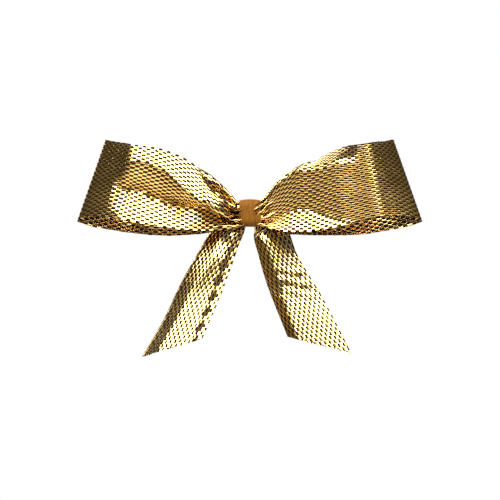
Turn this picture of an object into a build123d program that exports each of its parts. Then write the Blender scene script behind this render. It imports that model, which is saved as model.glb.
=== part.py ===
"""Pre-made gift bow in woven metallic ribbon.

One strip of ribbon makes two loops and two tails. It is pleated at the waist, tied with thread,
covered by a narrow centre band and carried on a small adhesive pad. Millimetres, +Z up, +X along
the bow, the front looks towards -Y. The origin is behind the pad's centre, on the rear face of its
release liner, where the bow lies against what it decorates.
"""
import os
from math import cos, radians, tan

from build123d import *

os.makedirs("parts", exist_ok=True)

# ---- driving dimensions ----
ribbon_width = 16.0
ribbon_thickness = 0.3
bow_width = 63.0
fold_tilt = 19.5  # degrees by which each loop's outer fold leans inwards at the top
knot_z = 0.6  # height of the knot's centre above the pad's centre

pad_length = 12.0
pad_height = 3.6
pad_corner = 0.8
pad_thickness = 1.4
liner_thickness = 0.1
liner_tab = 2.5  # how far the release liner runs past the pad as a finger tab

band_length = 4.0  # along X
band_height = 5.1
band_depth = 4.0
band_thickness = 0.35
band_corner = 1.2
band_lap = 2.7  # how far the band's ends overlap at the back
glue_thickness = 0.1

passes = 3  # front of the loops, and the two rear runs that turn down into the tails
pleats_per_pass = 4
pleat_thickness = 0.12
pleat_pitch = 0.175
pleat_height = ribbon_width / pleats_per_pass - 0.5  # each bend takes up the rest of the width
waist_length = 4.6

thread_radius = 0.14
thread_turns = 3
thread_pitch = 0.9

neck_radius = 1.15  # the gathered root of a loop, round about its flex axis
neck_gap = 0.65  # between the centre band and a loop's neck
tail_neck_radius = 0.9
band_clearance = 0.35  # between the centre band and a tail

# ---- places that follow ----
band_rear = -liner_thickness - pad_thickness
band_front = band_rear - band_depth
waist_y = band_rear - band_depth / 2
loop_pivot_x = band_length / 2 + neck_gap + neck_radius
loop_pivot_y = waist_y - 0.35
tail_pivot_x = band_length / 2 + band_clearance + tail_neck_radius
tail_pivot_z = -1.6  # from the knot's centre
tail_neck_y = -2.15
fold_x = bow_width / 2
fold_foot = -1.5  # the fold's lower end, from the knot's centre
fold_head = fold_foot + ribbon_width * cos(radians(fold_tilt))

# Seen from the front with the knot's centre as origin: local x is +X, local y is +Z.
front_view = Plane(origin=(0, 0, knot_z), x_dir=(1, 0, 0), z_dir=(0, -1, 0))


def rounded_slab(length, depth, height, corner, centre):
    """A thin slab standing in XZ, with its four corners rounded."""
    with BuildPart() as slab:
        with Locations(centre):
            Box(length, depth, height)
        fillet(slab.edges().filter_by(Axis.Y), corner)
    return slab.part


# ---- adhesive pad and its release liner ----
with BuildPart() as adhesive_pad:
    pad_centre = (0, band_rear + pad_thickness / 2, 0)
    add(rounded_slab(pad_length, pad_thickness, pad_height, pad_corner, pad_centre))
adhesive_pad.part.label = "adhesive_pad"

with BuildPart() as release_liner:
    liner_centre = (liner_tab / 2, -liner_thickness / 2, 0)
    add(rounded_slab(pad_length + liner_tab, liner_thickness, pad_height, pad_corner, liner_centre))
release_liner.part.label = "release_liner"

# ---- ribbon waist: three passes of ribbon, each folded into pleats ----
half_thick = band_thickness / 2
outer_layer_y = band_rear - half_thick
inner_layer_y = outer_layer_y - band_thickness - glue_thickness
front_layer_y = band_front + half_thick
stack_y = (inner_layer_y + front_layer_y) / 2
stack_depth = passes * pleats_per_pass * pleat_pitch
stack_rear = stack_y + stack_depth / 2
pleat_bend = pleat_height / 2 - pleat_thickness / 2

with BuildPart() as ribbon_waist:
    for layer in range(passes):
        with BuildSketch(Plane.YZ.offset(-waist_length / 2)) as pleats:
            for fold in range(pleats_per_pass):
                panel = layer * pleats_per_pass + fold
                y = stack_rear - (panel + 0.5) * pleat_pitch
                with Locations((y, knot_z)):
                    Rectangle(pleat_thickness, 2 * pleat_bend)
                if fold == pleats_per_pass - 1:
                    continue
                end = 1 if fold % 2 else -1
                with Locations((y - pleat_pitch / 2, knot_z + end * pleat_bend)):
                    SlotOverall(pleat_pitch + pleat_thickness, pleat_thickness)
        extrude(amount=waist_length)
ribbon_waist.part.label = "ribbon_waist"

# ---- binding thread: turns of thread that cinch the pleats ----
thread_half_y = stack_depth / 2 + thread_radius
thread_half_z = pleat_height / 2 + thread_radius
thread_corner = 0.4

with BuildPart() as binding_thread:
    for turn in range(thread_turns):
        x = (turn - (thread_turns - 1) / 2) * thread_pitch
        with BuildSketch(Plane.YZ.offset(x - thread_radius)):
            with Locations((stack_y, knot_z)):
                outer_size = (2 * (thread_half_y + thread_radius), 2 * (thread_half_z + thread_radius))
                inner_size = (2 * (thread_half_y - thread_radius), 2 * (thread_half_z - thread_radius))
                RectangleRounded(*outer_size, thread_corner)
                RectangleRounded(*inner_size, thread_corner - 2 * thread_radius, mode=Mode.SUBTRACT)
        extrude(amount=2 * thread_radius)
binding_thread.part.label = "binding_thread"

# ---- centre band: one narrow strip once round the waist, its ends lapped and glued behind ----
edge_z = band_height / 2 - half_thick

with BuildPart() as centre_band:
    with BuildSketch(Plane.YZ) as wrap:
        with BuildLine():
            FilletPolyline(
                (inner_layer_y, knot_z - band_lap / 2),
                (inner_layer_y, knot_z + edge_z),
                (front_layer_y, knot_z + edge_z),
                (front_layer_y, knot_z - edge_z),
                (outer_layer_y, knot_z - edge_z),
                (outer_layer_y, knot_z + band_lap / 2),
                radius=band_corner - half_thick,
            )
        trace(line_width=band_thickness)
    extrude(amount=band_length / 2, both=True)
centre_band.part.label = "centre_band"

with BuildPart() as band_glue:
    glue_y = (inner_layer_y + outer_layer_y) / 2
    add(rounded_slab(band_length - 0.6, glue_thickness, band_lap - 0.2, 0.4, (0, glue_y, knot_z)))
band_glue.part.label = "band_glue"


def ribbon_loop(side):
    """One hollow loop. side is -1 for the left loop and 1 for the right.

    The strip's course is drawn as seen from above, then swept along the tilted direction of the
    outer fold and cut to the loop's outline as seen from the front.
    """
    fold_y = -6.0
    lowest = -5.0
    highest = 14.0
    lean = tan(radians(fold_tilt))
    at_foot = fold_x + lean * (fold_foot - lowest)  # the fold's outermost place on the lowest plane

    with BuildPart() as loop:
        with BuildSketch(Plane.XY.offset(knot_z + lowest)):
            with BuildLine():
                Spline(
                    (side * 2.6, loop_pivot_y - 0.35),
                    (side * 9.0, -5.7),
                    (side * 16.0, -9.0),
                    (side * (at_foot - 9), -10.5),
                    (side * (at_foot - 2.2), -9.0),
                    (side * at_foot, fold_y),
                    (side * (at_foot - 2.2), -3.0),
                    (side * (at_foot - 9), -1.6),
                    (side * 16.0, -1.9),
                    (side * 9.0, -2.75),
                    (side * 2.6, loop_pivot_y + 0.35),
                )
            trace(line_width=ribbon_thickness)
        extrude(amount=highest - lowest, dir=(-side * lean, 0, 1))
        with BuildSketch(front_view):
            with BuildLine():
                top = Spline(
                    (side * loop_pivot_x, 2.4),
                    (side * 6.3, 6.2),
                    (side * 11.5, 9.9),
                    (side * 18.5, 12.2),
                    (side * 28.0, fold_head),
                )
                bottom = Spline(
                    (side * loop_pivot_x, -2.4),
                    (side * 8.0, -3.8),
                    (side * 16.0, -4.2),
                    (side * 25.0, -3.3),
                    (side * 33.0, -0.9),
                )
                Line(top @ 0, bottom @ 0)
                Line(top @ 1, bottom @ 1)
            make_face()
        extrude(amount=12, mode=Mode.INTERSECT)
        with BuildSketch(Plane.XY.offset(knot_z - 2.4)):
            with Locations((side * loop_pivot_x, loop_pivot_y)):
                Circle(neck_radius)
        extrude(amount=4.8)
    return loop.part


def ribbon_tail(sections, tip, side):
    """One tail. It opens from a narrow neck into a gutter that leans forwards on its way down.

    Each section is (height, outer x, inner x, edge y, crown y), from the neck down. tip holds the
    outer and inner ends of the slanted cut. side is -1 for the left tail and 1 for the right.
    """
    with BuildPart() as tail:
        for height, outer_x, inner_x, edge_y, crown_y in sections:
            with BuildSketch(Plane.XY.offset(knot_z + height)):
                with BuildLine():
                    crown = ((outer_x + inner_x) / 2, crown_y)
                    ThreePointArc((outer_x, edge_y), crown, (inner_x, edge_y))
                trace(line_width=ribbon_thickness)
        loft(ruled=True)
        outer_tip, inner_tip = tip
        with BuildSketch(front_view):
            with BuildLine():
                slope = (outer_tip[1] - inner_tip[1]) / (outer_tip[0] - inner_tip[0])
                left = (-30, outer_tip[1] + slope * (-30 - outer_tip[0]))
                right = (30, outer_tip[1] + slope * (30 - outer_tip[0]))
                Polyline(left, right, (30, -45), (-30, -45), close=True)
            make_face()
        extrude(amount=12, mode=Mode.SUBTRACT)
        with BuildSketch(front_view.offset(-tail_neck_y - ribbon_thickness / 2)):
            with Locations((side * tail_pivot_x, tail_pivot_z)):
                Circle(tail_neck_radius)
        extrude(amount=ribbon_thickness)
        # room for the centre band beside and below its corner
        keep_out = band_length / 2 + band_clearance
        with BuildSketch(front_view):
            with Locations((0, 0)):
                Rectangle(2 * keep_out, band_height + 2 * 0.55)
        extrude(amount=12, mode=Mode.SUBTRACT)
    return tail.part


# ---- loops ----
with BuildPart() as left_loop:
    add(ribbon_loop(-1))
left_loop.part.label = "left_loop"

with BuildPart() as right_loop:
    add(ribbon_loop(1))
right_loop.part.label = "right_loop"

# ---- tails: the left one is a little longer and swings out further ----
with BuildPart() as left_tail:
    left_sections = (
        (-1.7, -4.1, -2.3, -2.1, -2.2),
        (-4.6, -7.6, -1.6, -2.0, -2.35),
        (-9.0, -10.4, -2.9, -2.5, -3.9),
        (-18.0, -15.4, -6.7, -5.4, -6.9),
        (-27.5, -20.6, -10.6, -7.6, -9.2),
    )
    add(ribbon_tail(left_sections, ((-20.0, -26.4), (-8.7, -22.9)), -1))
left_tail.part.label = "left_tail"

with BuildPart() as right_tail:
    right_sections = (
        (-1.7, 4.1, 2.3, -2.1, -2.2),
        (-4.6, 6.9, 0.6, -2.0, -2.35),
        (-9.0, 9.1, 1.7, -2.5, -3.9),
        (-18.0, 14.5, 4.9, -5.2, -6.6),
        (-27.5, 19.4, 8.2, -7.2, -8.8),
    )
    add(ribbon_tail(right_sections, ((18.5, -25.6), (6.5, -22.5)), 1))
right_tail.part.label = "right_tail"

# ---- files ----
pieces = (
    ribbon_waist,
    left_loop,
    right_loop,
    left_tail,
    right_tail,
    binding_thread,
    centre_band,
    band_glue,
    adhesive_pad,
    release_liner,
)
for piece in pieces:
    export_step(piece.part, f"parts/{piece.part.label}.step")
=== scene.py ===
"""The looks of the pre-made gift bow: woven metallic ribbon built strand by strand on the CAD frame."""

import bpy
import numpy as np
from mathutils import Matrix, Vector, noise


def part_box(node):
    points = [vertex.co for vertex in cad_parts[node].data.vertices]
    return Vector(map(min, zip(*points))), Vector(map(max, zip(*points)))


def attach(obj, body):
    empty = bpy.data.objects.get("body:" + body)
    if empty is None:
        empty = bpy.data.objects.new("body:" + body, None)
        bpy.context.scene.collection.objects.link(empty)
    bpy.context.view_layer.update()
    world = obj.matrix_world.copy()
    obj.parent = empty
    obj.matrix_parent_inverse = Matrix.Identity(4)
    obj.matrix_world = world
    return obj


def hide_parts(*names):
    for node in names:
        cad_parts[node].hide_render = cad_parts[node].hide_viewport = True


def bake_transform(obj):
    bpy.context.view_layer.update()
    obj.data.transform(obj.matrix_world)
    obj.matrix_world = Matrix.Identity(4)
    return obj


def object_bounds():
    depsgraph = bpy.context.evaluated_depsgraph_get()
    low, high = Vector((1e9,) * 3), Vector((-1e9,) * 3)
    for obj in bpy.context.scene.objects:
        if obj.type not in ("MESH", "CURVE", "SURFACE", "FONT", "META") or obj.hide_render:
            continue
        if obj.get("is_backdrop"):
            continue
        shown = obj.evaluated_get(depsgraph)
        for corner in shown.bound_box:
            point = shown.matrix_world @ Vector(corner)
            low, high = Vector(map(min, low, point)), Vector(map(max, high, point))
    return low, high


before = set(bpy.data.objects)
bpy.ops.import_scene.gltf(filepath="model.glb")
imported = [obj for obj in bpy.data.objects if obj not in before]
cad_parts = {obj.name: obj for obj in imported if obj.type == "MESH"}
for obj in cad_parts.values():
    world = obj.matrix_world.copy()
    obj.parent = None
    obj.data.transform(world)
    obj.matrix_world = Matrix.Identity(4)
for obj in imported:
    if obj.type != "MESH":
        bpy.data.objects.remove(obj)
cad_low, cad_high = (Vector(corner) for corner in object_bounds())

MM = 0.001  # every size below is in millimetres until it reaches a mesh


def box_of(node):
    low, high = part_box(node)
    return np.array(low) / MM, np.array(high) / MM


# ---- where things are, read from the frame ----
band_low, band_high = box_of("centre_band")
stack_low, stack_high = box_of("ribbon_waist")
KNOT_Z = (band_low[2] + band_high[2]) / 2
BAND_HALF = band_high[0]

# ---- the ribbon ----
RIBBON_WIDTH = 16.0
TAPE_PITCH = 0.8  # flat gold foil tapes run across the ribbon
THREAD_PITCH = 0.45  # fine dark threads run along it
TAPE_COVER = 0.96  # how much of its pitch a tape covers
THREAD_COVER = 0.66  # the same for a thread
TAPE_WAVE = 0.03  # how far a tape rises and dips between the threads
THREAD_WAVE = 0.05  # how far a thread rises and dips between the tapes
TAPE_CROWN = 0.014  # how much higher a tape is along its middle than along its edges
THREAD_CROWN = 0.03
CLEARANCE = 0.3  # between the ribbon and the surface that the bow lies on
FRAY = 0.012  # how unevenly the tapes end along the ribbon's edges, as a share of its width
STEPS = 4  # mesh steps from one crossing to the next
THREADS = round(RIBBON_WIDTH / THREAD_PITCH)
LARGEST_FOLD = 3.3  # how many times over a fold may be turned up
HALVINGS = 30  # of the interval in which a row's fold is searched for
RIB_PLACES = 1600  # along the curves through the ribs' ends, before they are spread evenly

rng = np.random.default_rng(11)


# ---------------------------------------------------------------- camera
def make_camera():
    """A long lens straight in front, with the bow as wide in the picture as it is seen from there."""
    distance = 0.6
    bow_share = 0.694  # of the picture's width
    picture_width = (cad_high.x - cad_low.x) / bow_share
    middle = (cad_low + cad_high) / 2
    data = bpy.data.cameras.new("camera")
    data.sensor_width = 36.0
    data.lens = data.sensor_width * distance / picture_width
    data.clip_end = 20.0
    camera = bpy.data.objects.new("camera", data)
    camera.location = (middle.x, middle.y - distance, middle.z)
    camera.rotation_euler = (np.pi / 2, 0, 0)
    bpy.context.collection.objects.link(camera)
    bpy.context.scene.camera = camera


make_camera()


# ---------------------------------------------------------------- curves and surfaces
def through(points, count):
    """count places along a smooth curve through points, as a Catmull-Rom spline."""
    p = np.asarray(points, float)
    p = np.concatenate([[2 * p[0] - p[1]], p, [2 * p[-1] - p[-2]]])
    t = np.linspace(0, len(p) - 3, count)
    i = np.minimum(t.astype(int), len(p) - 4)
    f = (t - i).reshape(-1, *[1] * (p.ndim - 1))
    a, b, c, d = p[i], p[i + 1], p[i + 2], p[i + 3]
    return 0.5 * (2 * b + (c - a) * f + (2 * a - 5 * b + 4 * c - d) * f**2 + (3 * b - a - 3 * c + d) * f**3)


def unit(vectors):
    return vectors / np.maximum(np.linalg.norm(vectors, axis=-1, keepdims=True), 1e-9)


def run_along(path):
    """The distance along a path at each of its points."""
    return np.concatenate([[0], np.cumsum(np.linalg.norm(np.diff(path, axis=0), axis=1))])


def resampled(path, run, even):
    return np.stack([np.interp(even, run, path[:, axis]) for axis in range(path.shape[1])], -1)


def ramp(x, start, end):
    """A smooth step from 0 at start to 1 at end."""
    t = np.clip((x - start) / (end - start), 0, 1)
    return t * t * (3 - 2 * t)


def between(x, low, high, soft):
    """1 between low and high, with smooth flanks soft wide."""
    return ramp(x, low - soft / 2, low + soft / 2) * (1 - ramp(x, high - soft / 2, high + soft / 2))


def smoothed(rows, times):
    """rows, with all but the first and the last drawn half-way towards their neighbours, times over."""
    for _ in range(times):
        rows[1:-1] = rows[1:-1] / 2 + (rows[2:] + rows[:-2]) / 4
    return rows


SIDE = np.array([-1.0, 0.0, 1.0])  # the points across one tape or thread


class Strip:
    """A strip of ribbon: places [along, across], evenly spread along it."""

    rows, columns = 480, 129

    def __init__(self, points, length):
        self.points = points
        self.length = length
        self.tapes = round(length / TAPE_PITCH)
        self.pitch = length / self.tapes
        along, across = np.gradient(points, axis=(0, 1))
        self.normals = unit(np.cross(across, along))

    def at(self, along, across, height):
        """Points of the strip at along (mm) and across (0 to 1), raised by height (mm)."""
        rows, columns = self.points.shape[:2]
        r = np.clip(along / self.length, 0, 1) * (rows - 1)
        c = np.clip(across, 0, 1) * (columns - 1)
        i, j = np.minimum(r.astype(int), rows - 2), np.minimum(c.astype(int), columns - 2)
        fr, fc = (r - i)[..., None], (c - j)[..., None]

        def mixed(grid):
            near = grid[i, j] * (1 - fc) + grid[i, j + 1] * fc
            far = grid[i + 1, j] * (1 - fc) + grid[i + 1, j + 1] * fc
            return near * (1 - fr) + far * fr

        return mixed(self.points) + unit(mixed(self.normals)) * np.asarray(height)[..., None]


def folded_strip(ribs, outward, base, fold, pin, flat=None):
    """A strip laid over ribs, each from its first edge to the furthest place that it reaches.

    base(along, across) is the angle in radians by which the strip leaves the rib, towards outward.
    fold is more of the same, turned up in each rib until the whole width fits, at most LARGEST_FOLD
    times. Smoothing then eases it, and width that still doesn't fit is drawn in, mostly next to the
    knot. The strip meets the rib again at pin(along), a share of its width. flat(along) is 1 where
    it lies flat in its ribs instead, also drawn in.
    """
    ribs = np.array(ribs, float)
    ribs[..., 2] += KNOT_Z
    dense = through(ribs, RIB_PLACES)
    run = run_along(dense.mean(1))
    even = np.linspace(0, run[-1], Strip.rows)
    first, last = (resampled(dense[:, end], run, even) for end in (0, 1))
    across = np.linspace(0, 1, Strip.columns)
    step = across[1]
    along_rib = unit(last - first)
    forward = unit(np.gradient((first + last) / 2, axis=0))
    normal = unit(np.cross(along_rib, forward)) * outward
    share = np.linalg.norm(last - first, axis=1) / RIBBON_WIDTH
    rest, more = base(even[:, None], across[None]), fold(even[:, None], across[None])

    def summed(wave, angle):
        """The running sum of wave(angle) across each row, from 0."""
        middles = (wave(angle[:, 1:]) + wave(angle[:, :-1])) / 2
        return np.concatenate([np.zeros((len(angle), 1)), np.cumsum(middles, 1)], 1)

    def course(scale):
        """How far each row runs up along its rib and out from it, in ribbon widths."""
        angle = rest + more * scale[:, None]
        return summed(np.cos, angle) * step, summed(np.sin, angle) * step

    low, high = np.zeros(len(even)), np.full(len(even), LARGEST_FOLD)
    for _ in range(HALVINGS):
        scale = (low + high) / 2
        too_long = course(scale)[0].max(1) > share
        low, high = np.where(too_long, scale, low), np.where(too_long, high, scale)
    scale = smoothed(scale, times=40)
    if flat:
        scale = scale * (1 - flat(even))
    up, out = course(scale)
    lean = [np.interp(p, across, o) / np.interp(p, across, u) for p, o, u in zip(pin(even), out, up)]
    out = out - np.array(lean)[:, None] * up
    up = up * share[:, None] / up.max(1)[:, None]
    points = first[:, None] + along_rib[:, None] * up[..., None] * RIBBON_WIDTH
    points = points + normal[:, None] * out[..., None] * RIBBON_WIDTH
    points[..., 1] = np.minimum(points[..., 1], -CLEARANCE)
    return Strip(smoothed(points, times=8), run[-1])


# ---------------------------------------------------------------- meshes
def linked(name, mesh, material):
    mesh.materials.append(material)
    piece = bpy.data.objects.new(name, mesh)
    bpy.context.collection.objects.link(piece)
    return piece


def sheet_mesh(name, strips, uvs, material):
    """One mesh of many narrow strips, each an array of points [along, across, xyz]."""
    vertices, faces, start = [], [], 0
    for points in strips:
        rows, columns = points.shape[:2]
        index = start + np.arange(rows * columns).reshape(rows, columns)
        quads = np.stack([index[:-1, :-1], index[1:, :-1], index[1:, 1:], index[:-1, 1:]], -1)
        vertices.append(points.reshape(-1, 3))
        faces.append(quads.reshape(-1, 4))
        start += rows * columns
    vertices, faces = np.vstack(vertices) * MM, np.vstack(faces)
    corners = np.vstack([uv.reshape(-1, 2) for uv in uvs])
    mesh = bpy.data.meshes.new(name)
    mesh.vertices.add(len(vertices))
    mesh.vertices.foreach_set("co", vertices.ravel())
    mesh.loops.add(faces.size)
    mesh.loops.foreach_set("vertex_index", faces.ravel())
    mesh.polygons.add(len(faces))
    mesh.polygons.foreach_set("loop_start", np.arange(0, faces.size, 4))
    mesh.polygons.foreach_set("use_smooth", np.ones(len(faces), bool))
    layer = mesh.uv_layers.new(name="weave")
    layer.data.foreach_set("uv", corners[faces.ravel()].ravel())
    mesh.update(calc_edges=True)
    mesh.validate()
    return linked(name, mesh, material)


def shell_mesh(name, tubes, material):
    """One mesh of closed skins, each an array of rings [ring, point, xyz] with a cap at either end."""
    vertices, faces, start = [], [], 0
    for rings in tubes:
        count, size = rings.shape[:2]
        index = start + np.arange(count * size).reshape(count, size)
        turned = np.roll(index, -1, 1)
        quads = np.stack([index[:-1], turned[:-1], turned[1:], index[1:]], -1)
        faces += quads.reshape(-1, 4).tolist() + [index[0, ::-1].tolist(), index[-1].tolist()]
        vertices.append(rings.reshape(-1, 3))
        start += count * size
    mesh = bpy.data.meshes.new(name)
    mesh.from_pydata((np.vstack(vertices) * MM).tolist(), [], faces)
    mesh.polygons.foreach_set("use_smooth", np.ones(len(faces), bool))
    mesh.update()
    return linked(name, mesh, material)


def tapes_of(strip, ends):
    """The foil tapes across a strip, and their UVs. ends(across) is the length at which it ends."""
    strips, uvs = [], []
    for tape in range(strip.tapes):
        middle = (tape + 0.5) * strip.pitch
        first, last = np.array([0, 1]) + rng.uniform(0, FRAY, 2) * (1, -1)
        across = np.linspace(first, last, THREADS * STEPS + 1)
        across = across[ends(across) >= middle]
        if len(across) < 3:
            continue
        wave = np.cos(np.pi * (across * THREADS - 0.5 + tape))
        along = middle + SIDE * strip.pitch * TAPE_COVER / 2
        along = np.minimum(along, np.maximum(ends(across)[:, None], middle))
        height = TAPE_WAVE * wave[:, None] + TAPE_CROWN * (1 - SIDE**2) * np.sign(wave[:, None])
        across = np.repeat(across[:, None], 3, 1)
        strips.append(strip.at(along, across, height))
        uvs.append(np.stack([along, across * RIBBON_WIDTH], -1))
    return strips, uvs


def threads_of(strip, ends):
    """The dark threads along a strip, and their UVs."""
    strips, uvs = [], []
    places = np.linspace(0, strip.length, strip.tapes * STEPS + 1)
    for thread in range(THREADS):
        middle = (thread + 0.5) / THREADS
        along = places[places <= ends(np.array([middle]))[0]]
        wave = -np.cos(np.pi * (along / strip.pitch - 0.5 + thread))[:, None]
        height = THREAD_WAVE * wave + THREAD_CROWN * (1 - SIDE**2) * np.sign(wave)
        across = np.repeat((middle + SIDE * THREAD_COVER / THREADS / 2)[None], len(along), 0)
        along = np.repeat(along[:, None], 3, 1)
        strips.append(strip.at(along, across, height))
        uvs.append(np.stack([along, across * RIBBON_WIDTH], -1))
    return strips, uvs


def uncut(strip):
    """The length at which a strip without a cut ends, at each place across it."""
    return lambda across: np.full_like(across, strip.length)


def weave(name, strips, cut=None):
    """The foil tapes and the dark threads of one strip or more, as two pieces."""
    pieces = []
    for kind, made, material in (("_foil", tapes_of, FOIL), ("_threads", threads_of, DARK_THREAD)):
        narrow, uvs = [], []
        for strip in strips:
            more, more_uvs = made(strip, cut or uncut(strip))
            narrow += more
            uvs += more_uvs
        pieces.append(sheet_mesh(name + kind, narrow, uvs, material))
    return pieces


# ---------------------------------------------------------------- materials
class Material:
    """A Principled material and short ways to wire textures into it."""

    def __init__(self, name, **fixed):
        self.material = bpy.data.materials.new(name)
        self.material.use_nodes = True
        self.tree = self.material.node_tree
        self.shader = self.tree.nodes["Principled BSDF"]
        for socket, value in fixed.items():
            self.shader.inputs[socket.replace("_", " ")].default_value = value

    def node(self, kind, inputs=None, **settings):
        node = self.tree.nodes.new("ShaderNode" + kind)
        for key, value in settings.items():
            setattr(node, key, value)
        for socket, value in (inputs or {}).items():
            if isinstance(value, bpy.types.NodeSocket):
                self.tree.links.new(value, node.inputs[socket])
            else:
                node.inputs[socket].default_value = value
        return node

    def place(self, scale, uv=None):
        """Texture places in millimetres times scale, from the mesh or from its UV map."""
        if uv:
            source = self.node("UVMap", uv_map=uv).outputs["UV"]
        else:
            source = self.node("TexCoord").outputs["Object"]
            scale = [value / MM for value in scale]
        return self.node("Mapping", {"Vector": source, "Scale": scale}).outputs["Vector"]

    def ramp(self, source, stops):
        node = self.node("ValToRGB", {"Fac": source})
        elements = node.color_ramp.elements
        while len(elements) < len(stops):
            elements.new(0.5)
        for element, (position, color) in zip(elements, stops):
            element.position = position
            element.color = (*color, 1)
        return node.outputs["Color"]

    def span(self, source, low, high):
        return self.node("MapRange", {"Value": source, "To Min": low, "To Max": high}).outputs["Result"]

    def bump(self, source, strength, distance):
        node = self.node("Bump", {"Height": source, "Strength": strength, "Distance": distance * MM})
        self.wire(Normal=node.outputs["Normal"])

    def wire(self, **sources):
        for socket, source in sources.items():
            self.tree.links.new(source, self.shader.inputs[socket.replace("_", " ")])


def foil_material():
    m = Material("gold_foil", Metallic=1.0)
    grain = m.node("TexNoise", {"Vector": m.place((3.0, 0.35, 1), "weave"), "Scale": 2.0, "Detail": 3.0})
    broad = m.node("TexNoise", {"Vector": m.place((0.35, 0.35, 1), "weave"), "Scale": 1.0})
    tone = m.ramp(grain.outputs["Fac"], [(0.3, (0.80, 0.48, 0.12)), (0.7, (0.97, 0.70, 0.27))])
    m.wire(Base_Color=tone, Roughness=m.span(broad.outputs["Fac"], 0.16, 0.3))
    return m.material


def dark_thread_material():
    m = Material("dark_thread", Specular_IOR_Level=0.05, Roughness=0.8)
    fibre = m.node("TexNoise", {"Vector": m.place((0.6, 9.0, 1), "weave"), "Scale": 2.0})
    tone = m.ramp(fibre.outputs["Fac"], [(0.3, (0.002, 0.0015, 0.0005)), (0.75, (0.014, 0.009, 0.003))])
    m.wire(Base_Color=tone)
    return m.material


FOIL = foil_material()
DARK_THREAD = dark_thread_material()


# ---------------------------------------------------------------- the loops
LOOP_LENGTH = 62.0  # of ribbon, nearly the same in both loops


def pleats(across, count):
    return np.cos(2 * np.pi * count * across)


# Each rib: lower edge, upper edge, from the knot along the front to the fold, and back behind it.
LEFT_LOOP_RIBS = [
    [(-1.2, -4.3, -2.3), (-1.2, -4.4, 1.2)],
    [(-3.2, -5.8, -2.7), (-4.0, -6.0, 1.2)],
    [(-6.5, -7.3, -3.4), (-6.5, -7.2, 3.5)],
    [(-11.0, -8.6, -3.2), (-10.0, -7.4, 8.7)],
    [(-16.5, -9.5, -2.5), (-14.9, -8.2, 11.3)],
    [(-20.6, -10.1, -1.8), (-18.6, -9.2, 12.1)],
    [(-23.4, -10.0, -1.2), (-20.9, -9.6, 12.35)],
    [(-25.8, -8.5, -0.9), (-22.7, -8.4, 12.7)],
    [(-28.7, -6.7, -0.6), (-24.6, -6.5, 13.0)],
    [(-30.8, -5.3, -0.9), (-25.9, -4.9, 13.35)],
    [(-31.6, -4.5, -1.6), (-26.4, -3.8, 13.45)],
    [(-30.8, -3.8, -1.9), (-25.8, -3.0, 13.3)],
    [(-28.6, -3.8, -2.6), (-24.4, -2.6, 12.6)],
    [(-25.0, -4.2, -3.2), (-21.6, -2.4, 11.0)],
    [(-20.0, -4.3, -3.9), (-17.2, -2.4, 9.9)],
    [(-15.0, -4.2, -4.2), (-13.0, -2.6, 9.2)],
    [(-9.5, -3.8, -3.9), (-8.8, -2.9, 8.0)],
    [(-5.0, -3.5, -3.2), (-5.0, -3.2, 5.0)],
    [(-2.2, -3.3, -2.4), (-2.4, -3.4, 2.2)],
    [(-1.0, -3.3, -2.0), (-1.0, -3.4, 1.4)],
]
# Distance from the knot, and where the valley and the ridge of the left loop's tuck lie there.
TUCK = np.array(
    [
        (0, 0.3, 0.62),
        (6, 0.3, 0.58),
        (10, 0.3, 0.54),
        (13.2, 0.28, 0.62),
        (17.5, 0.35, 0.75),
        (21, 0.42, 0.8),
        (26, 0.39, 0.74),
    ]
)


def over_fold(along, start, end):
    """0 before the outer fold and 1 behind it; start and end are shares of the loop's length."""
    return ramp(along, start * LOOP_LENGTH, end * LOOP_LENGTH)


def behind(across, edge):
    """The rear layer's lean: edge along its lower edge, and slightly forwards above that."""
    return edge + (0.15 - edge) * ramp(across, 0.12, 0.34)


def gathered(shape, along, across, reach):
    """shape, with pleats instead of it where a loop enters the knot: over reach at its front end."""
    near = 1 - ramp(along, reach / 4, reach) + ramp(along, LOOP_LENGTH - 10, LOOP_LENGTH - 3)
    return shape * (1 - near) + 0.5 * near * pleats(across, 4.0)


def end_zone(start):
    """Where a loop lies flat and smooth: from start over the outer fold to half-way along its rear."""
    return lambda along: ramp(along, start, start + 6) * (1 - ramp(along, 38, 46))


def left_tuck(along):
    return (np.interp(along, TUCK[:, 0], TUCK[:, column]) for column in (1, 2))


def left_base(along, across):
    """The lower band leans back into a valley and the upper part leans back from a ridge."""
    valley, ridge = left_tuck(along)
    middle = 1.2 - 0.65 * np.clip((across - valley) / (ridge - valley), 0, 1)
    shape = -0.36 + middle * ramp(across, valley - 0.03, valley + 0.03)
    shape = shape - 0.55 * ramp(across, ridge - 0.05, ridge + 0.08)
    shape = shape * ramp(along, 0, 4) * (1 - ramp(along, 22.5, 26.5))
    return shape + behind(across, 0.5 - 0.95 * ramp(along, 41, 45)) * over_fold(along, 0.52, 0.62)


def left_fold(along, across):
    """What takes up the rest of the width: the tuck's overhang, and pleats at the knot."""
    valley, ridge = left_tuck(along)
    tuck = between(across, valley, ridge, 0.06 + 0.08 * ramp(along, 8, 20))
    tuck = tuck - 0.8 * ramp(across, ridge, 1) * between(along, 3, 10, 4)
    back = over_fold(along, 0.46, 0.54)
    return gathered(tuck * (1 - back) + pleats(across, 2.0) * back, along, across, 7)


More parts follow.
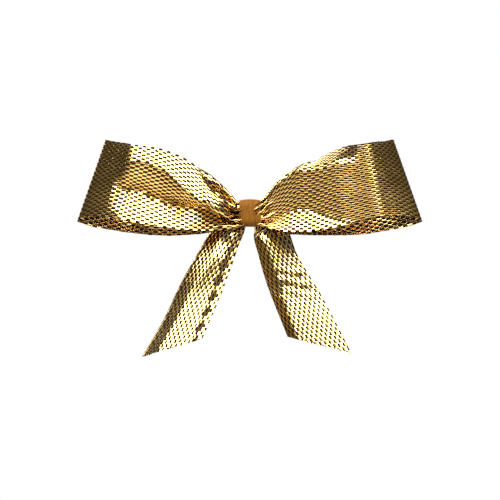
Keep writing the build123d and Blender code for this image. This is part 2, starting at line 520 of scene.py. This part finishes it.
RIGHT_LOOP_RIBS = [
    [(1.2, -4.3, -2.2), (1.2, -4.4, 1.3)],
    [(3.2, -5.4, -2.7), (3.4, -4.6, 2.8)],
    [(6.5, -6.8, -3.4), (6.6, -5.8, 6.5)],
    [(11.0, -8.2, -3.4), (11.0, -7.3, 9.9)],
    [(16.0, -8.8, -2.6), (15.6, -9.4, 11.6)],
    [(20.4, -9.1, -1.5), (19.0, -10.6, 12.3)],
    [(23.4, -8.7, -0.9), (21.0, -10.5, 12.6)],
    [(25.8, -7.6, -0.7), (22.8, -9.4, 12.9)],
    [(28.7, -6.2, -0.8), (24.6, -7.7, 13.1)],
    [(30.8, -5.1, -1.1), (25.7, -6.2, 13.4)],
    [(31.5, -4.5, -1.6), (26.2, -4.8, 13.45)],
    [(30.8, -4.0, -1.9), (25.6, -3.8, 13.3)],
    [(28.6, -4.2, -2.6), (24.0, -2.9, 12.6)],
    [(25.0, -4.2, -3.3), (21.2, -2.4, 11.0)],
    [(20.0, -4.3, -4.0), (17.0, -2.4, 9.9)],
    [(15.0, -4.2, -4.1), (13.0, -2.6, 9.8)],
    [(9.5, -3.8, -4.0), (9.2, -2.9, 8.8)],
    [(5.0, -3.5, -3.5), (5.4, -3.2, 6.1)],
    [(2.2, -3.3, -2.4), (2.6, -3.4, 2.9)],
    [(1.0, -3.3, -2.0), (1.0, -3.4, 1.6)],
]


def right_base(along, across):
    """A narrow lower band leans back, and above it a smooth face comes forwards."""
    band = 0.27 * (1 - ramp(along, 9, 21))
    front = 0.12 - 0.52 * (1 - ramp(across, band - 0.03, band + 0.03)) * (1 - ramp(along, 15, 20))
    front = front * (1 - ramp(along, 20, 27))
    return front + behind(across, 0.5) * over_fold(along, 0.52, 0.62)


def right_fold(along, across):
    """The upper part rolls back, and there are pleats at the knot."""
    back = over_fold(along, 0.46, 0.54)
    edge = 0.7 + 0.08 * ramp(along, 13, 23)
    front = -ramp(across, edge, edge + 0.08)
    return gathered(front * (1 - back) + pleats(across, 2.0) * back, along, across, 3)


# ---------------------------------------------------------------- the tails
# Each rib: the edge that shows, and the furthest place that the strip reaches before it curls behind.
LEFT_TAIL_RIBS = [
    [(-0.9, -3.1, -1.6), (-2.6, -3.1, -1.2)],
    [(-1.0, -3.3, -3.4), (-6.4, -3.2, -2.2)],
    [(-2.0, -3.9, -6.0), (-8.7, -3.9, -5.6)],
    [(-3.3, -4.9, -9.8), (-10.7, -4.8, -8.8)],
    [(-5.4, -6.4, -15.4), (-14.4, -6.0, -15.4)],
    [(-7.8, -8.0, -21.0), (-17.7, -7.6, -21.4)],
    [(-10.2, -9.6, -26.8), (-21.6, -9.2, -27.5)],
]
RIGHT_TAIL_RIBS = [
    [(2.6, -3.1, -1.2), (0.9, -3.1, -1.6)],
    [(6.6, -3.7, -2.6), (0.5, -3.1, -3.9)],
    [(8.6, -3.5, -7.4), (1.7, -3.8, -7.9)],
    [(10.4, -3.9, -10.6), (2.9, -4.5, -11.8)],
    [(13.0, -4.9, -14.9), (4.3, -5.2, -15.6)],
    [(15.7, -6.6, -20.0), (6.4, -6.4, -21.2)],
    [(18.9, -8.7, -26.4), (8.6, -7.8, -27.6)],
]
# The slant cuts, as two places on each line, seen from the front.
LEFT_CUT = ((-20.0, -26.4), (-8.7, -22.9))
RIGHT_CUT = ((6.5, -22.5), (18.5, -25.6))


def pleated_at_knot(curl, along, across):
    """curl, with pleats instead of it over a tail's first 5 mm."""
    near = 1 - ramp(along, 0, 5)
    return curl * (1 - near) + near * pleats(across, 6.0)


def left_tail_base(along, across):
    """Nearly flat, with a shallow crease beside the showing edge."""
    middle = 0.1 + 0.01 * np.sin(1.9 * along)
    return 0.7 * between(across, middle - 0.035, middle + 0.035, 0.03) * ramp(along, 5, 9)


def left_tail_fold(along, across):
    """The far side turns away and curls behind, and there are pleats at the knot."""
    turn = np.interp(along, (4, 9, 15, 21, 28), (0.38, 0.43, 0.53, 0.57, 0.64))
    curl = -0.65 * ramp(across, turn - 0.22, turn - 0.12) - 1.0 * ramp(across, turn, turn + 0.14)
    return pleated_at_knot(curl, along, across)


def right_tail_base(along, across):
    """Nearly flat, with small creases beside the showing edge."""
    creases = 0.12 * np.sin(2.6 * along + 5 * across)
    creases = creases * between(along, 10, 16, 3) * between(across, 0.12, 0.3, 0.06)
    return (0.06 + creases) * ramp(along, 3, 6)


def right_tail_fold(along, across):
    """The far side turns away and curls behind, and there are pleats at the knot."""
    turn = np.interp(along, (7, 12, 16, 28), (0.4, 0.45, 0.52, 0.63))
    curl = -0.5 * ramp(across, turn - 0.12, turn - 0.04) - 1.1 * ramp(across, turn, turn + 0.14)
    return pleated_at_knot(curl, along, across)


def cut_along(strip, ends):
    """The length, at each place across a strip, where it meets a straight cut seen from the front."""
    (x0, z0), (x1, z1) = ends
    line = z0 + KNOT_Z + (strip.points[..., 0] - x0) * (z1 - z0) / (x1 - x0)
    above = strip.points[..., 2] - line
    rows = np.linspace(0, strip.length, len(above))
    lengths = [np.interp(0, -column, rows) for column in above.T]
    return lambda across: np.interp(across, np.linspace(0, 1, len(lengths)), lengths)


# ---------------------------------------------------------------- the ribbon's pieces
def make_ribbon(name, strip, cut=None):
    """A loop or a tail: its foil and its threads, fixed in place, with the CAD part hidden."""
    foil, threads = weave(name, [strip], cut)
    for piece in (foil, threads):
        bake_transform(piece)
    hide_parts(name)


# Where a strip meets its ribs again, as a share of its width.
def at_top(along):
    return np.ones_like(along)


def before_roll(along):
    """Just below the roll on the right loop's front, and at the top behind."""
    return 0.66 + 0.34 * over_fold(along, 0.46, 0.54)


def before_curl(along):
    """Near where a tail starts to curl behind."""
    return np.full_like(along, 0.4)


left_loop = folded_strip(LEFT_LOOP_RIBS, 1, left_base, left_fold, at_top, end_zone(19))
right_loop = folded_strip(RIGHT_LOOP_RIBS, -1, right_base, right_fold, before_roll, end_zone(15.5))
left_tail = folded_strip(LEFT_TAIL_RIBS, 1, left_tail_base, left_tail_fold, before_curl)
right_tail = folded_strip(RIGHT_TAIL_RIBS, 1, right_tail_base, right_tail_fold, before_curl)

for side, name, strip in ((-1, "left_loop", left_loop), (1, "right_loop", right_loop)):
    make_ribbon(name, strip)

for side, name, strip, ends in (
    (-1, "left_tail", left_tail, LEFT_CUT),
    (1, "right_tail", right_tail, RIGHT_CUT),
):
    cut = cut_along(strip, ends)
    mean_length = float(cut(np.linspace(0, 1, 200)).mean())
    make_ribbon(name, strip, cut)


# ---------------------------------------------------------------- the waist under the band
LAYER = 0.35  # the band's own thickness
LAP_PITCH = 1.285  # from one lapped end of the band to the other, in layers
REAR = band_high[1]
INNER_LAP = REAR - LAP_PITCH * LAYER - LAYER / 2  # the middles of the band's layers
OUTER_LAP = REAR - LAYER / 2
FRONT = band_low[1] + LAYER / 2
BAND_EDGE = (band_high[2] - band_low[2]) / 2 - LAYER / 2


def rounded(corners, radius, count):
    """count evenly spaced places on a (y, z) line through corners, each corner rounded."""
    corners = np.array(corners, float)
    path = [corners[:1]]
    t = np.linspace(0, 1, 12)[:, None]
    for before, corner, after in zip(corners, corners[1:], corners[2:]):
        reach = [min(radius, np.linalg.norm(other - corner) / 2) for other in (before, after)]
        start, end = (corner + unit(other - corner) * r for other, r in zip((before, after), reach))
        path.append((1 - t) ** 2 * start + 2 * t * (1 - t) * corner + t**2 * end)
    path = np.vstack([*path, corners[-1:]])
    run = run_along(path)
    return resampled(path, run, np.linspace(0, run[-1], count))


def make_waist():
    """Three passes of the ribbon, each folded into four pleats that lie on one another."""
    passes, panels, half = 3, 4, 1.62
    spare, rear_spare = 0.14, 0.1  # what is left free of the CAD body's depth, in all and behind
    gap = (stack_high[1] - stack_low[1] - spare) / (passes * panels)
    x = np.linspace(stack_low[0], stack_high[0], 24)
    strips = []
    for layer in range(passes):
        y = stack_high[1] - rear_spare - gap * (layer * panels + 0.25 + np.arange(panels))
        ends = [(-1, 1) if panel % 2 == 0 else (1, -1) for panel in range(panels)]
        corners = [(y[panel], KNOT_Z + half * end) for panel in range(panels) for end in ends[panel]]
        fold = rounded(corners, gap / 2, Strip.columns)
        squeeze = 1 - 0.05 * (1 - (x / x[-1]) ** 2)[:, None]
        points = np.empty((len(x), Strip.columns, 3))
        points[..., 0] = x[:, None]
        points[..., 1] = fold[:, 0]
        points[..., 2] = KNOT_Z + (fold[:, 1] - KNOT_Z) * squeeze
        strips.append(Strip(points, x[-1] - x[0]))
    foil, threads = weave("ribbon_waist", strips)
    for piece in (foil, threads):
        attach(piece, "knot")
    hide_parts("ribbon_waist")


def make_thread():
    """Two plies twisted together, wound three times round the pleats."""
    turns, twists, ply, count = 3, 13, 0.085, 900
    standoff, half, reach = 0.13, 1.88, 1.2
    y0, y1 = stack_low[1] - standoff, stack_high[1] + standoff
    z0, z1 = KNOT_Z - half, KNOT_Z + half
    middle = (y0 + y1) / 2
    ring = rounded([(middle, z1), (y0, z1), (y0, z0), (y1, z0), (y1, z1), (middle, z1)], 0.35, 300)
    t = np.linspace(0, turns, count)
    place = np.mod(t, 1) * (len(ring) - 1)
    y, z = (np.interp(place, np.arange(len(ring)), column) for column in ring.T)
    path = np.column_stack([np.linspace(-reach, reach, count), y, z])
    forward = unit(np.gradient(path, axis=0))
    across = unit(np.cross(forward, np.array([1.0, 0, 0])))
    beside = np.cross(forward, across)
    around = np.linspace(0, 2 * np.pi, 8, endpoint=False)
    tubes = []
    for start in (0, np.pi):
        twist = (start + 2 * np.pi * t * twists)[:, None]
        centre = path + ply * 0.8 * (np.cos(twist) * across + np.sin(twist) * beside)
        circle = [np.cos(a) * across + np.sin(a) * beside for a in around]
        tubes.append(centre[:, None] + ply * np.stack(circle, 1))
    small_piece("binding_thread", tubes, YARN)


# ---------------------------------------------------------------- small solid pieces
def small_piece(node, tubes, material):
    piece = shell_mesh(node + "_piece", tubes, material)
    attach(piece, "knot")
    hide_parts(node)
    return piece


def lumps(x, y, z, size):
    """Smooth noise between about -1 and 1 at the places x, y, z."""
    return np.vectorize(lambda *p: noise.noise(Vector(p) / size))(x, y, z)


def layer_rings(path, half, outer, inner):
    """Rings of a thin layer along a (y, z) path, from x = -half to half, by its two faces' heights."""
    along = unit(np.gradient(path, axis=0))
    out = np.stack([-along[:, 1], along[:, 0]], -1)
    x = np.linspace(-half, half, outer.shape[1])
    faces = []
    for height, places in ((outer, x), (inner[:, ::-1], x[::-1])):
        yz = path[:, None] + out[:, None] * height[..., None]
        faces.append(np.concatenate([np.broadcast_to(places[None, :, None], (*height.shape, 1)), yz], -1))
    return np.concatenate(faces, 1)


def make_band():
    """A ribbed satin strip, wrapped once round the waist, with its ends lapped behind."""
    top, foot, lap = KNOT_Z + BAND_EDGE, KNOT_Z - BAND_EDGE, 1.35
    corners = [(INNER_LAP, KNOT_Z - lap), (INNER_LAP, top), (FRONT, top)]
    corners += [(FRONT, foot), (OUTER_LAP, foot), (OUTER_LAP, KNOT_Z + lap)]
    path = rounded(corners, 1.3, 260)
    ribs, half = 11, BAND_HALF - 0.04
    x = np.linspace(-1, 1, ribs * 10 + 1)
    station = np.linspace(0, 1, len(path))[:, None]
    rib = 0.05 * np.abs(np.cos(np.pi * ribs * (x + 1) / 2))[None]
    weft = 0.012 * np.sin(station * 2 * np.pi * 75 + np.pi * np.floor((x + 1) / 2 * ribs)[None])
    height = LAYER / 2 - 0.062 + rib + weft
    rings = layer_rings(path, half, height, -height + 0 * rib)
    place, z = rings[..., 0] / half, rings[..., 2] - KNOT_Z
    rings[..., 2] -= 0.22 * place**2 * ramp(z, 0.5, 2.4)
    rings[..., 2] += (0.10 * place**2 + 0.3 * ramp(-place, 0.55, 1.0)) * ramp(-z, 0.8, 2.4)
    small_piece("centre_band", [rings], SATIN)


def make_glue():
    """A thin uneven film between the band's lapped ends."""
    half_width, half_height = 1.62, 1.2
    y = (INNER_LAP + OUTER_LAP) / 2
    z = KNOT_Z + np.linspace(-half_height, half_height, 60)
    path = np.column_stack([np.full_like(z, y), z])
    x = np.linspace(-half_width, half_width, 60)
    height = 0.036 + 0.012 * lumps(x[None] + 0 * z[:, None], 0.0, z[:, None] + 0 * x[None], 0.5)
    edge = 1 - 0.12 * ramp(np.abs(z - KNOT_Z), 0.7, half_height) + 0.04 * lumps(z, 3.0, 0.0, 0.6)
    rings = layer_rings(path, half_width, height, -height)
    rings[..., 0] *= edge[:, None]
    small_piece("band_glue", [rings], GLUE)


PAD_CORNER = 0.8  # the radius of the pad's and the liner's corners


def rounded_end(x, low, high):
    """How much of a slab's half-width is lost at x to its rounded ends."""
    into = np.clip(PAD_CORNER - np.minimum(x - low, high - x), 0, PAD_CORNER)
    return PAD_CORNER - np.sqrt(np.maximum(PAD_CORNER**2 - into**2, 0))


def make_pad():
    """Foam with open cells cut through on all its faces."""
    low, high = box_of("adhesive_pad")
    inset, cell_size, cell_depth = 0.03, 0.34, 0.09
    middle, half = (low + high) / 2, (high - low) / 2 - inset
    x = np.linspace(middle[0] - half[0], middle[0] + half[0], 170)
    lost = rounded_end(x, x[0], x[-1])
    faces = []
    sides = [(-1, -1), (-1, 1), (1, 1), (1, -1), (-1, -1)]
    for (y0, z0), (y1, z1) in zip(sides, sides[1:]):
        t = np.linspace(0, 1, 44 if y0 == y1 else 18, endpoint=False)[:, None]
        faces.append((1 - t) * (y0, z0) + t * (y1, z1))
    ring = np.vstack(faces)
    y = middle[1] + half[1] * ring[:, 0] + 0 * x[:, None]
    z = middle[2] + (half[2] - lost)[:, None] * ring[:, 1]
    places = np.stack([x[:, None] + 0 * y, y, z], -1)
    cell = np.apply_along_axis(lambda p: noise.voronoi(Vector(p) / cell_size)[0][0], -1, places)
    inwards = unit(np.stack([0 * y, middle[1] - y, (middle[2] - z) * 0.3], -1))
    places = places + inwards * (cell_depth * (1 - ramp(cell, 0.12, 0.42)))[..., None]
    pad = small_piece("adhesive_pad", [places], FOAM)


def make_liner():
    """Thin release paper with rounded corners. Its tab curls up a little."""
    low, high = box_of("release_liner")
    half, depth = (high[2] - low[2]) / 2, (high[1] - low[1]) / 2
    tab_start, tab_rise = 6.4, 0.35
    x = np.linspace(low[0], high[0], 180)
    width = half - rounded_end(x, low[0], high[0])
    y = (low[1] + high[1]) / 2 - tab_rise * ramp(x, tab_start, high[0] + 1)
    u = np.linspace(-1, 1, 30)
    rings = []
    for face, order in ((-1, u), (1, u[::-1])):
        z = width[:, None] * order[None]
        wave = 0.012 * lumps(x[:, None] + 0 * z, 7.0, z, 1.8)
        rings.append(np.stack([x[:, None] + 0 * z, y[:, None] + face * depth * 0.7 + wave, z], -1))
    piece = shell_mesh("release_liner_piece", [np.concatenate(rings, 1)], LINER)
    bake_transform(piece)
    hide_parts("release_liner")


def satin_material():
    m = Material("band_satin", Specular_IOR_Level=0.12)
    streak = m.node("TexNoise", {"Vector": m.place((6.0, 0.5, 0.5)), "Scale": 1.0, "Detail": 3.0})
    rows = {"Vector": m.place((0.0, 1.0, 1.0)), "Scale": 2.4, "Distortion": 1.5}
    weft = m.node("TexWave", rows, bands_direction="Z")
    tone = m.ramp(streak.outputs["Fac"], [(0.3, (0.085, 0.028, 0.001)), (0.7, (0.16, 0.062, 0.002))])
    m.wire(Base_Color=tone, Roughness=m.span(streak.outputs["Fac"], 0.45, 0.65))
    m.bump(weft.outputs["Fac"], 0.5, 0.02)
    return m.material


def yarn_material():
    m = Material("binding_yarn", Roughness=0.7, Sheen_Weight=0.2)
    fibre = m.node("TexNoise", {"Vector": m.place((8.0, 8.0, 8.0)), "Scale": 1.0, "Detail": 4.0})
    m.wire(Base_Color=m.ramp(fibre.outputs["Fac"], [(0.3, (0.20, 0.10, 0.02)), (0.7, (0.42, 0.24, 0.07))]))
    m.bump(fibre.outputs["Fac"], 0.6, 0.02)
    return m.material


def glue_material():
    m = Material("band_glue_film", Coat_Weight=0.5)
    cloud = m.node("TexNoise", {"Vector": m.place((1.5, 1.5, 1.5)), "Scale": 1.0, "Detail": 3.0})
    m.wire(Base_Color=m.ramp(cloud.outputs["Fac"], [(0.3, (0.62, 0.50, 0.28)), (0.7, (0.80, 0.72, 0.50))]))
    m.wire(Roughness=m.span(cloud.outputs["Fac"], 0.15, 0.4))
    return m.material


def foam_material():
    m = Material("pad_foam", Specular_IOR_Level=0.2, Subsurface_Weight=0.1)
    cell = m.node("TexVoronoi", {"Vector": m.place((4.0, 4.0, 4.0)), "Scale": 1.0})
    fine = m.node("TexNoise", {"Vector": m.place((9.0, 9.0, 9.0)), "Scale": 1.0})
    # Painted shade: the foam is painted darker towards each cell's middle, where the bump sinks it into a
    # pore.
    tone = m.ramp(cell.outputs["Distance"], [(0.05, (0.55, 0.55, 0.52)), (0.5, (0.88, 0.88, 0.85))])
    m.wire(Base_Color=tone)
    m.wire(Roughness=m.span(fine.outputs["Fac"], 0.7, 0.95))
    m.bump(cell.outputs["Distance"], 0.7, 0.05)
    return m.material


def paper_material():
    m = Material("liner_paper", Specular_IOR_Level=0.5)
    fibre = m.node("TexNoise", {"Vector": m.place((1.2, 1.2, 6.0)), "Scale": 1.0, "Detail": 5.0})
    m.wire(Base_Color=m.ramp(fibre.outputs["Fac"], [(0.3, (0.78, 0.74, 0.64)), (0.7, (0.90, 0.88, 0.80))]))
    m.wire(Roughness=m.span(fibre.outputs["Fac"], 0.28, 0.42))
    m.bump(fibre.outputs["Fac"], 0.2, 0.01)
    return m.material


SATIN = satin_material()
YARN = yarn_material()
GLUE = glue_material()
FOAM = foam_material()
LINER = paper_material()

make_waist()
make_thread()
make_band()
make_glue()
make_pad()
make_liner()


# ---------------------------------------------------------------- studio
def make_floor():
    below = 0.4
    place = (0, 0, cad_low.z - below)
    bpy.ops.mesh.primitive_circle_add(vertices=96, radius=0.9, fill_type="NGON", location=place)
    floor = bpy.context.object
    floor.name = "floor"
    m = Material("floor_material", Roughness=0.8)
    m.shader.inputs["Base Color"].default_value = (0.85, 0.85, 0.84, 1)
    floor.data.materials.append(m.material)
    floor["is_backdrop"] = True


def softbox(name, place, size, power, color=(1, 1, 1)):
    data = bpy.data.lights.new(name, "AREA")
    data.shape = "RECTANGLE"
    data.size, data.size_y = size
    data.energy = power
    data.color = color
    light = bpy.data.objects.new(name, data)
    light.location = place
    light.rotation_euler = (-light.location).to_track_quat("-Z", "Y").to_euler()
    bpy.context.collection.objects.link(light)


def make_world(strength):
    """Dim warm surroundings for what the ribbon mirrors, and a white backdrop behind the bow."""
    world = bpy.data.worlds.new("studio")
    bpy.context.scene.world = world
    world.use_nodes = True
    nodes, links = world.node_tree.nodes, world.node_tree.links
    surroundings = nodes["Background"]
    surroundings.inputs["Color"].default_value = (1.0, 0.86, 0.70, 1)
    surroundings.inputs["Strength"].default_value = strength
    backdrop = nodes.new("ShaderNodeBackground")
    backdrop.inputs["Color"].default_value = (1, 1, 1, 1)
    path = nodes.new("ShaderNodeLightPath")
    mix = nodes.new("ShaderNodeMixShader")
    links.new(path.outputs["Is Camera Ray"], mix.inputs["Fac"])
    links.new(surroundings.outputs["Background"], mix.inputs[1])
    links.new(backdrop.outputs["Background"], mix.inputs[2])
    links.new(mix.outputs["Shader"], nodes["World Output"].inputs["Surface"])


make_floor()
make_world(0.1)
softbox("bounce", (0.0, -0.24, -0.40), (1.1, 0.5), 0.9, (1.0, 0.62, 0.32))
softbox("key", (0.02, -0.36, 0.41), (1.0, 0.44), 17)
softbox("back", (-0.15, 0.5, 0.3), (0.5, 0.4), 2.5)
bpy.context.scene.view_settings.view_transform = "Standard"
